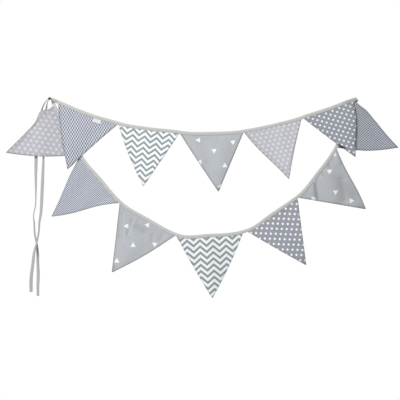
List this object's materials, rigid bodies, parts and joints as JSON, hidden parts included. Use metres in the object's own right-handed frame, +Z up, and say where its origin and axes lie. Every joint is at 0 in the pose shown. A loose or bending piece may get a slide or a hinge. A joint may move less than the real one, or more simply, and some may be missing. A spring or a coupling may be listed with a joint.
{
  "type": "fabric bunting on wall nails",
  "caption": "String of pointed double-layer cotton flags on a folded bias tape, hung in two swags between wall nails with its long ties hanging free.",
  "frame": {"origin": "middle of the left nail's foot, on the wall's face", "axes": "+X to the viewer's right along the wall, +Y into the wall, +Z up"},
  "size_m": [1.1799, 0.0244, 0.604],
  "materials": {
    "tape": "matt woven cotton bias binding",
    "check_cotton": "matt woven cotton with a fine blue-grey and white check",
    "chevron_cotton": "matt woven cotton printed with white and grey zigzags",
    "triangle_cotton": "matt woven grey cotton printed with a few white triangles",
    "pale_cotton": "matt woven pale lilac-grey cotton with soft white dots",
    "dotted_cotton": "matt woven lilac-grey cotton with small white dots",
    "label": "soft white woven ribbon, bare",
    "nail_steel": "dark blued steel"
  },
  "bodies": {
    "root": {"tape": "tape", "flag_check_front": "check_cotton", "flag_chevron_upper": "chevron_cotton", "flag_triangles_upper": "triangle_cotton", "flag_pale_upper": "pale_cotton", "flag_dots_upper": "dotted_cotton", "flag_check_right": "check_cotton", "flag_triangles_right": "triangle_cotton", "flag_dots_lower": "dotted_cotton", "flag_chevron_lower": "chevron_cotton", "flag_triangles_left": "triangle_cotton", "flag_check_left": "check_cotton", "flag_pale_left": "pale_cotton", "label": "label", "nail_left": "nail_steel", "nail_right": "nail_steel"}
  },
  "joints": []
}
